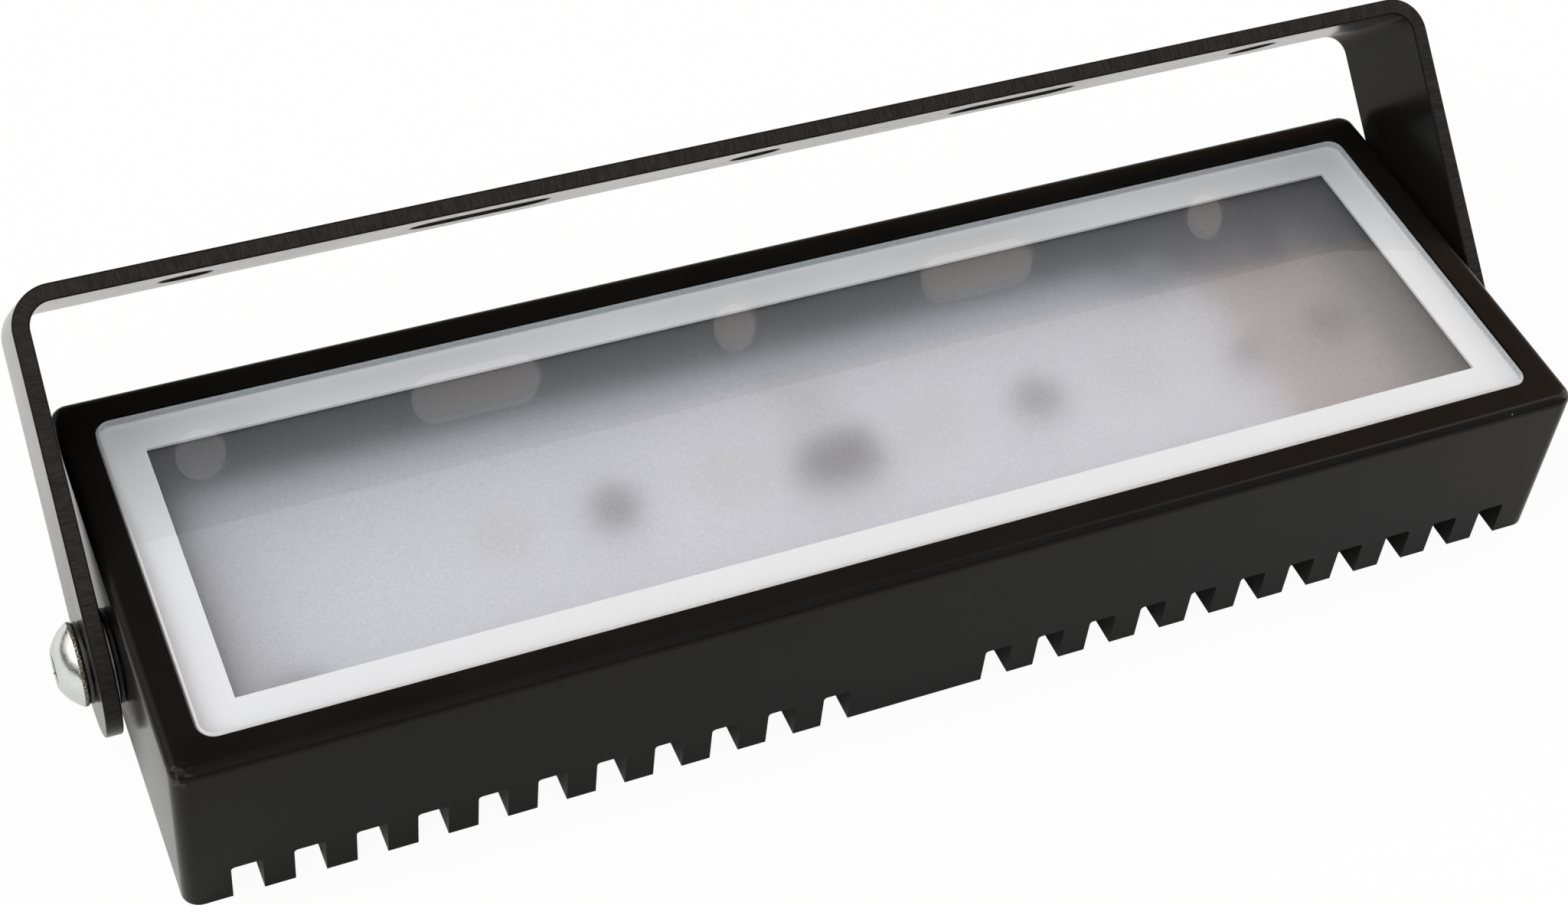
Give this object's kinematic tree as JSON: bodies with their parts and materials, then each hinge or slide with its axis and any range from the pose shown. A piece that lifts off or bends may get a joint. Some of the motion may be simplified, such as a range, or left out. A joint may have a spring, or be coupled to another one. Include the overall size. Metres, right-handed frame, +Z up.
{
  "type": "machine work light",
  "caption": "Rectangular finned machine light with a framed glass window, held between the legs of a swivelling U bracket with round and slotted mounting holes.",
  "frame": {"origin": "middle of the housing's flat underside, on the solid block between the cooling fins", "axes": "+X along the housing to the right, +Y to the rear towards the bracket's crossbar at rest, +Z up through the glass"},
  "size_m": [0.2692, 0.0924, 0.0646],
  "materials": {
    "housing_coat": "black satin powder coat on aluminium",
    "bracket_coat": "black satin powder coat on steel sheet",
    "window_glass": "clear toughened glass with chamfered edges",
    "white_gasket": "matt white",
    "frosted_sheet": "frosted translucent",
    "white_board": "white solder mask on aluminium",
    "thermal_pad": "matt grey",
    "white_ceramic": "matt white ceramic",
    "phosphor": "pale yellow phosphor under clear silicone",
    "black_moulding": "matt black moulding",
    "aluminium_can": "brushed",
    "bright_zinc": "bright zinc plated steel",
    "dark_steel": "dark oxide on steel",
    "nickel_plate": "nickel plated brass",
    "gold_plate": "gold plated",
    "black_rubber": "matt",
    "white_insulation": "satin"
  },
  "bodies": {
    "light": {"housing": "housing_coat", "safety_glass": "window_glass", "window_gasket": "white_gasket", "diffuser_sheet": "frosted_sheet", "led_board": "white_board", "thermal_pad": "thermal_pad", "board_screw_1": "dark_steel", "board_screw_2": "dark_steel", "board_screw_3": "dark_steel", "board_screw_4": "dark_steel", "led_base_1": "white_ceramic", "led_base_2": "white_ceramic", "led_base_3": "white_ceramic", "led_base_4": "white_ceramic", "led_lens_1": "phosphor", "led_lens_2": "phosphor", "led_lens_3": "phosphor", "led_lens_4": "phosphor", "driver_chip": "black_moulding", "input_diode": "black_moulding", "driver_coil": "black_moulding", "capacitor_base": "black_moulding", "input_capacitor": "aluminium_can", "wire_terminal": "black_moulding", "supply_lead_positive": "white_insulation", "supply_lead_negative": "white_insulation", "connector_shell": "nickel_plate", "connector_pin_carrier": "black_moulding", "connector_pin_1": "gold_plate", "connector_pin_2": "gold_plate", "connector_pin_3": "gold_plate", "connector_pin_4": "gold_plate", "connector_seal": "black_rubber", "pivot_bolt_left": "bright_zinc", "pivot_bolt_right": "bright_zinc", "head_washer_left": "dark_steel", "head_washer_right": "dark_steel", "spacer_washer_left": "bright_zinc", "spacer_washer_right": "bright_zinc", "friction_washer_left": "black_moulding", "friction_washer_right": "black_moulding", "thread_insert_left": "dark_steel", "thread_insert_right": "dark_steel"},
    "bracket": {"mounting_bracket": "bracket_coat"}
  },
  "joints": [
    {"name": "bracket_swivel", "type": "hinge", "parent": "light", "child": "bracket", "pos_m": [0, 0, 0.0157], "axis": [1, 0, 0], "continuous": true}
  ]
}
